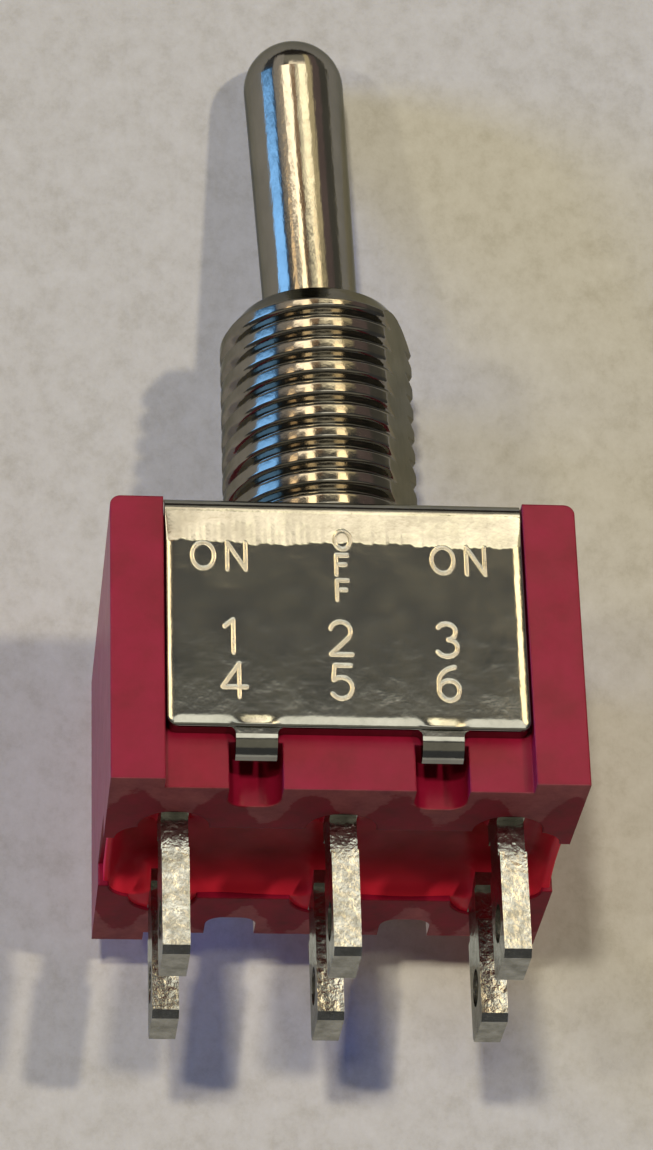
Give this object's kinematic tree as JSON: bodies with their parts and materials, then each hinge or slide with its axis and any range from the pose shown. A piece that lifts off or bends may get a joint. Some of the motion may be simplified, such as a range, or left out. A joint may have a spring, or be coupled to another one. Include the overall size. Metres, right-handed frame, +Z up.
{
  "type": "toggle switch",
  "caption": "Miniature panel toggle switch with a threaded bushing, a metal bat lever, a red moulded case in a folded steel frame and solder lugs.",
  "frame": {"origin": "on the axis of the threaded bushing, on the frame's top face, where a panel seats", "axes": "+Z up the bushing towards the lever's tip, +X along the lever's throw to the right, -Y towards the front flange"},
  "size_m": [0.0132, 0.0114, 0.0322],
  "materials": {
    "case_plastic": "fine moulded",
    "epoxy": "glossy",
    "frame_steel": "plated",
    "bushing_metal": "nickel plated",
    "lever_metal": "bright plated",
    "nylon": "moulded",
    "plunger_nylon": "smooth",
    "spring_steel": "drawn wire",
    "strip_brass": "silver plated",
    "lug_brass": "tin plated",
    "contact_silver": "satin silver"
  },
  "bodies": {
    "housing": {"case": "case_plastic", "epoxy_seal": "epoxy", "frame": "frame_steel", "bushing": "bushing_metal", "common_terminal_front": "lug_brass", "common_terminal_rear": "lug_brass", "end_terminal_left_front": "lug_brass", "end_terminal_right_front": "lug_brass", "end_terminal_left_rear": "lug_brass", "end_terminal_right_rear": "lug_brass", "contact_left_front": "contact_silver", "contact_right_front": "contact_silver", "contact_left_rear": "contact_silver", "contact_right_rear": "contact_silver"},
    "lever": {"lever": "lever_metal", "carrier": "nylon", "plunger_spring_front": "spring_steel", "plunger_spring_rear": "spring_steel"},
    "plunger_front": {"plunger_front": "plunger_nylon"},
    "plunger_rear": {"plunger_rear": "plunger_nylon"},
    "rocker_front": {"rocker_front": "strip_brass"},
    "rocker_rear": {"rocker_rear": "strip_brass"}
  },
  "joints": [
    {"name": "lever_throw", "type": "hinge", "parent": "housing", "child": "lever", "pos_m": [0, 0, 0.00605], "axis": [0, 1, 0], "range_deg": [-10.1, 14.9]},
    {"name": "rocker_front_tilt", "type": "hinge", "parent": "housing", "child": "rocker_front", "pos_m": [0, -0.0024, -0.0046], "axis": [0, 1, 0], "range_deg": [-9.54, 6.47]},
    {"name": "rocker_rear_tilt", "type": "hinge", "parent": "housing", "child": "rocker_rear", "pos_m": [0, 0.0024, -0.0046], "axis": [0, 1, 0], "range_deg": [-9.54, 6.47]},
    {"name": "plunger_front_slide", "type": "slide", "parent": "lever", "child": "plunger_front", "axis": [-0.0419, 0, 0.9991], "range_m": [0, 0.0004], "stiffness_N_per_m": 600, "deforming": ["plunger_spring_front"]},
    {"name": "plunger_rear_slide", "type": "slide", "parent": "lever", "child": "plunger_rear", "axis": [-0.0419, 0, 0.9991], "range_m": [0, 0.0004], "stiffness_N_per_m": 600, "deforming": ["plunger_spring_rear"]}
  ],
  "couplings": [
    {"joint": "rocker_front_tilt", "follows": "lever_throw", "ratio": -0.64},
    {"joint": "rocker_rear_tilt", "follows": "lever_throw", "ratio": -0.64}
  ]
}
